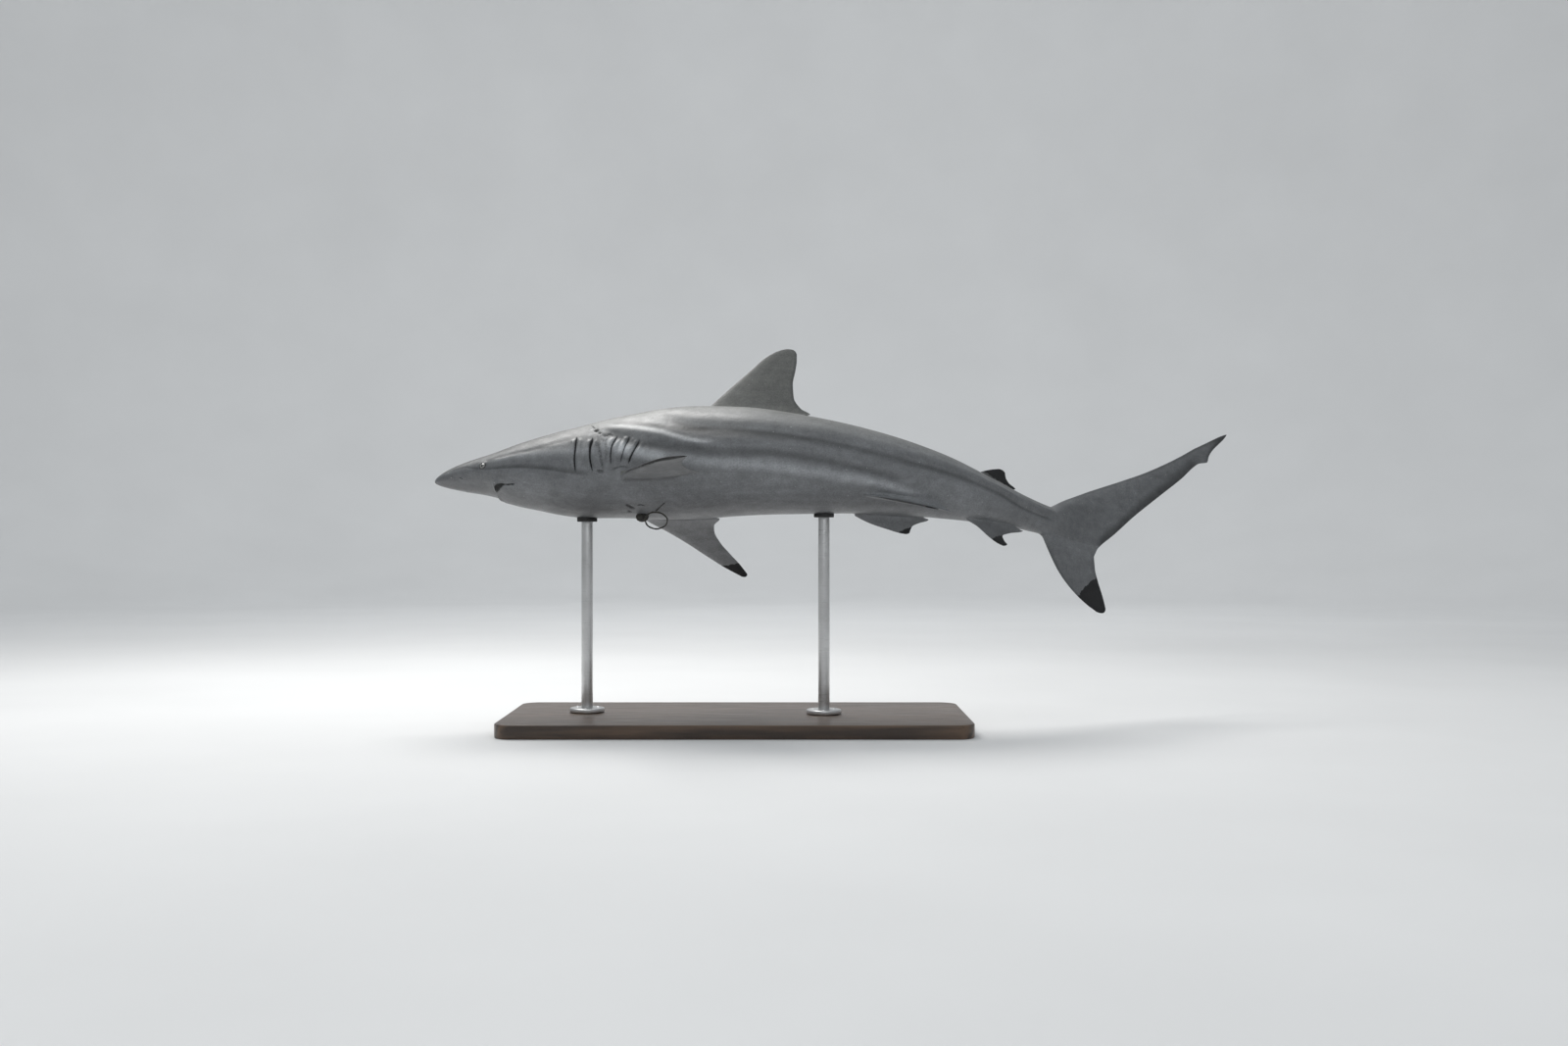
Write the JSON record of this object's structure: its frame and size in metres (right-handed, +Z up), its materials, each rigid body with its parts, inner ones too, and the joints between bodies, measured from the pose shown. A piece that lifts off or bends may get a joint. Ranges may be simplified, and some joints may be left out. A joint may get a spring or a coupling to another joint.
{
  "type": "shark on a display stand",
  "caption": "Life-size spinner shark in a banked swimming pose with its tail bent away, held over a flat base by short rods.",
  "frame": {"origin": "middle of the stand base's underside", "axes": "+Z up; the head points along -X and the shark's left side faces -Y"},
  "size_m": [1.8658, 0.8614, 0.8384],
  "materials": {
    "skin": "satin grey hide, darker above with a pale streak along the flank and black fin tips",
    "eye": "glossy, dark pupil in a grey-gold iris",
    "tackle": "dull dark wire with fouling",
    "stand_wood": "satin dark walnut",
    "stand_steel": "brushed",
    "stand_pad": "matte black"
  },
  "bodies": {
    "root": {"head": "skin", "lower_jaw": "skin", "gill_region": "skin", "trunk_front": "skin", "trunk_rear": "skin", "tail_stem": "skin", "caudal_fin_upper": "skin", "caudal_fin_lower": "skin", "dorsal_fin_first": "skin", "dorsal_fin_second": "skin", "anal_fin": "skin", "pectoral_fin_left": "skin", "pectoral_fin_right": "skin", "pelvic_fin_left": "skin", "pelvic_fin_right": "skin", "eye_left": "eye", "eye_right": "eye", "snare_ring": "tackle", "snare_knot": "tackle", "snare_spur": "tackle", "stand_base": "stand_wood", "stand_foot_front": "stand_steel", "stand_foot_rear": "stand_steel", "stand_rod_front": "stand_steel", "stand_rod_rear": "stand_steel", "stand_pad_front": "stand_pad", "stand_pad_rear": "stand_pad"}
  },
  "joints": []
}
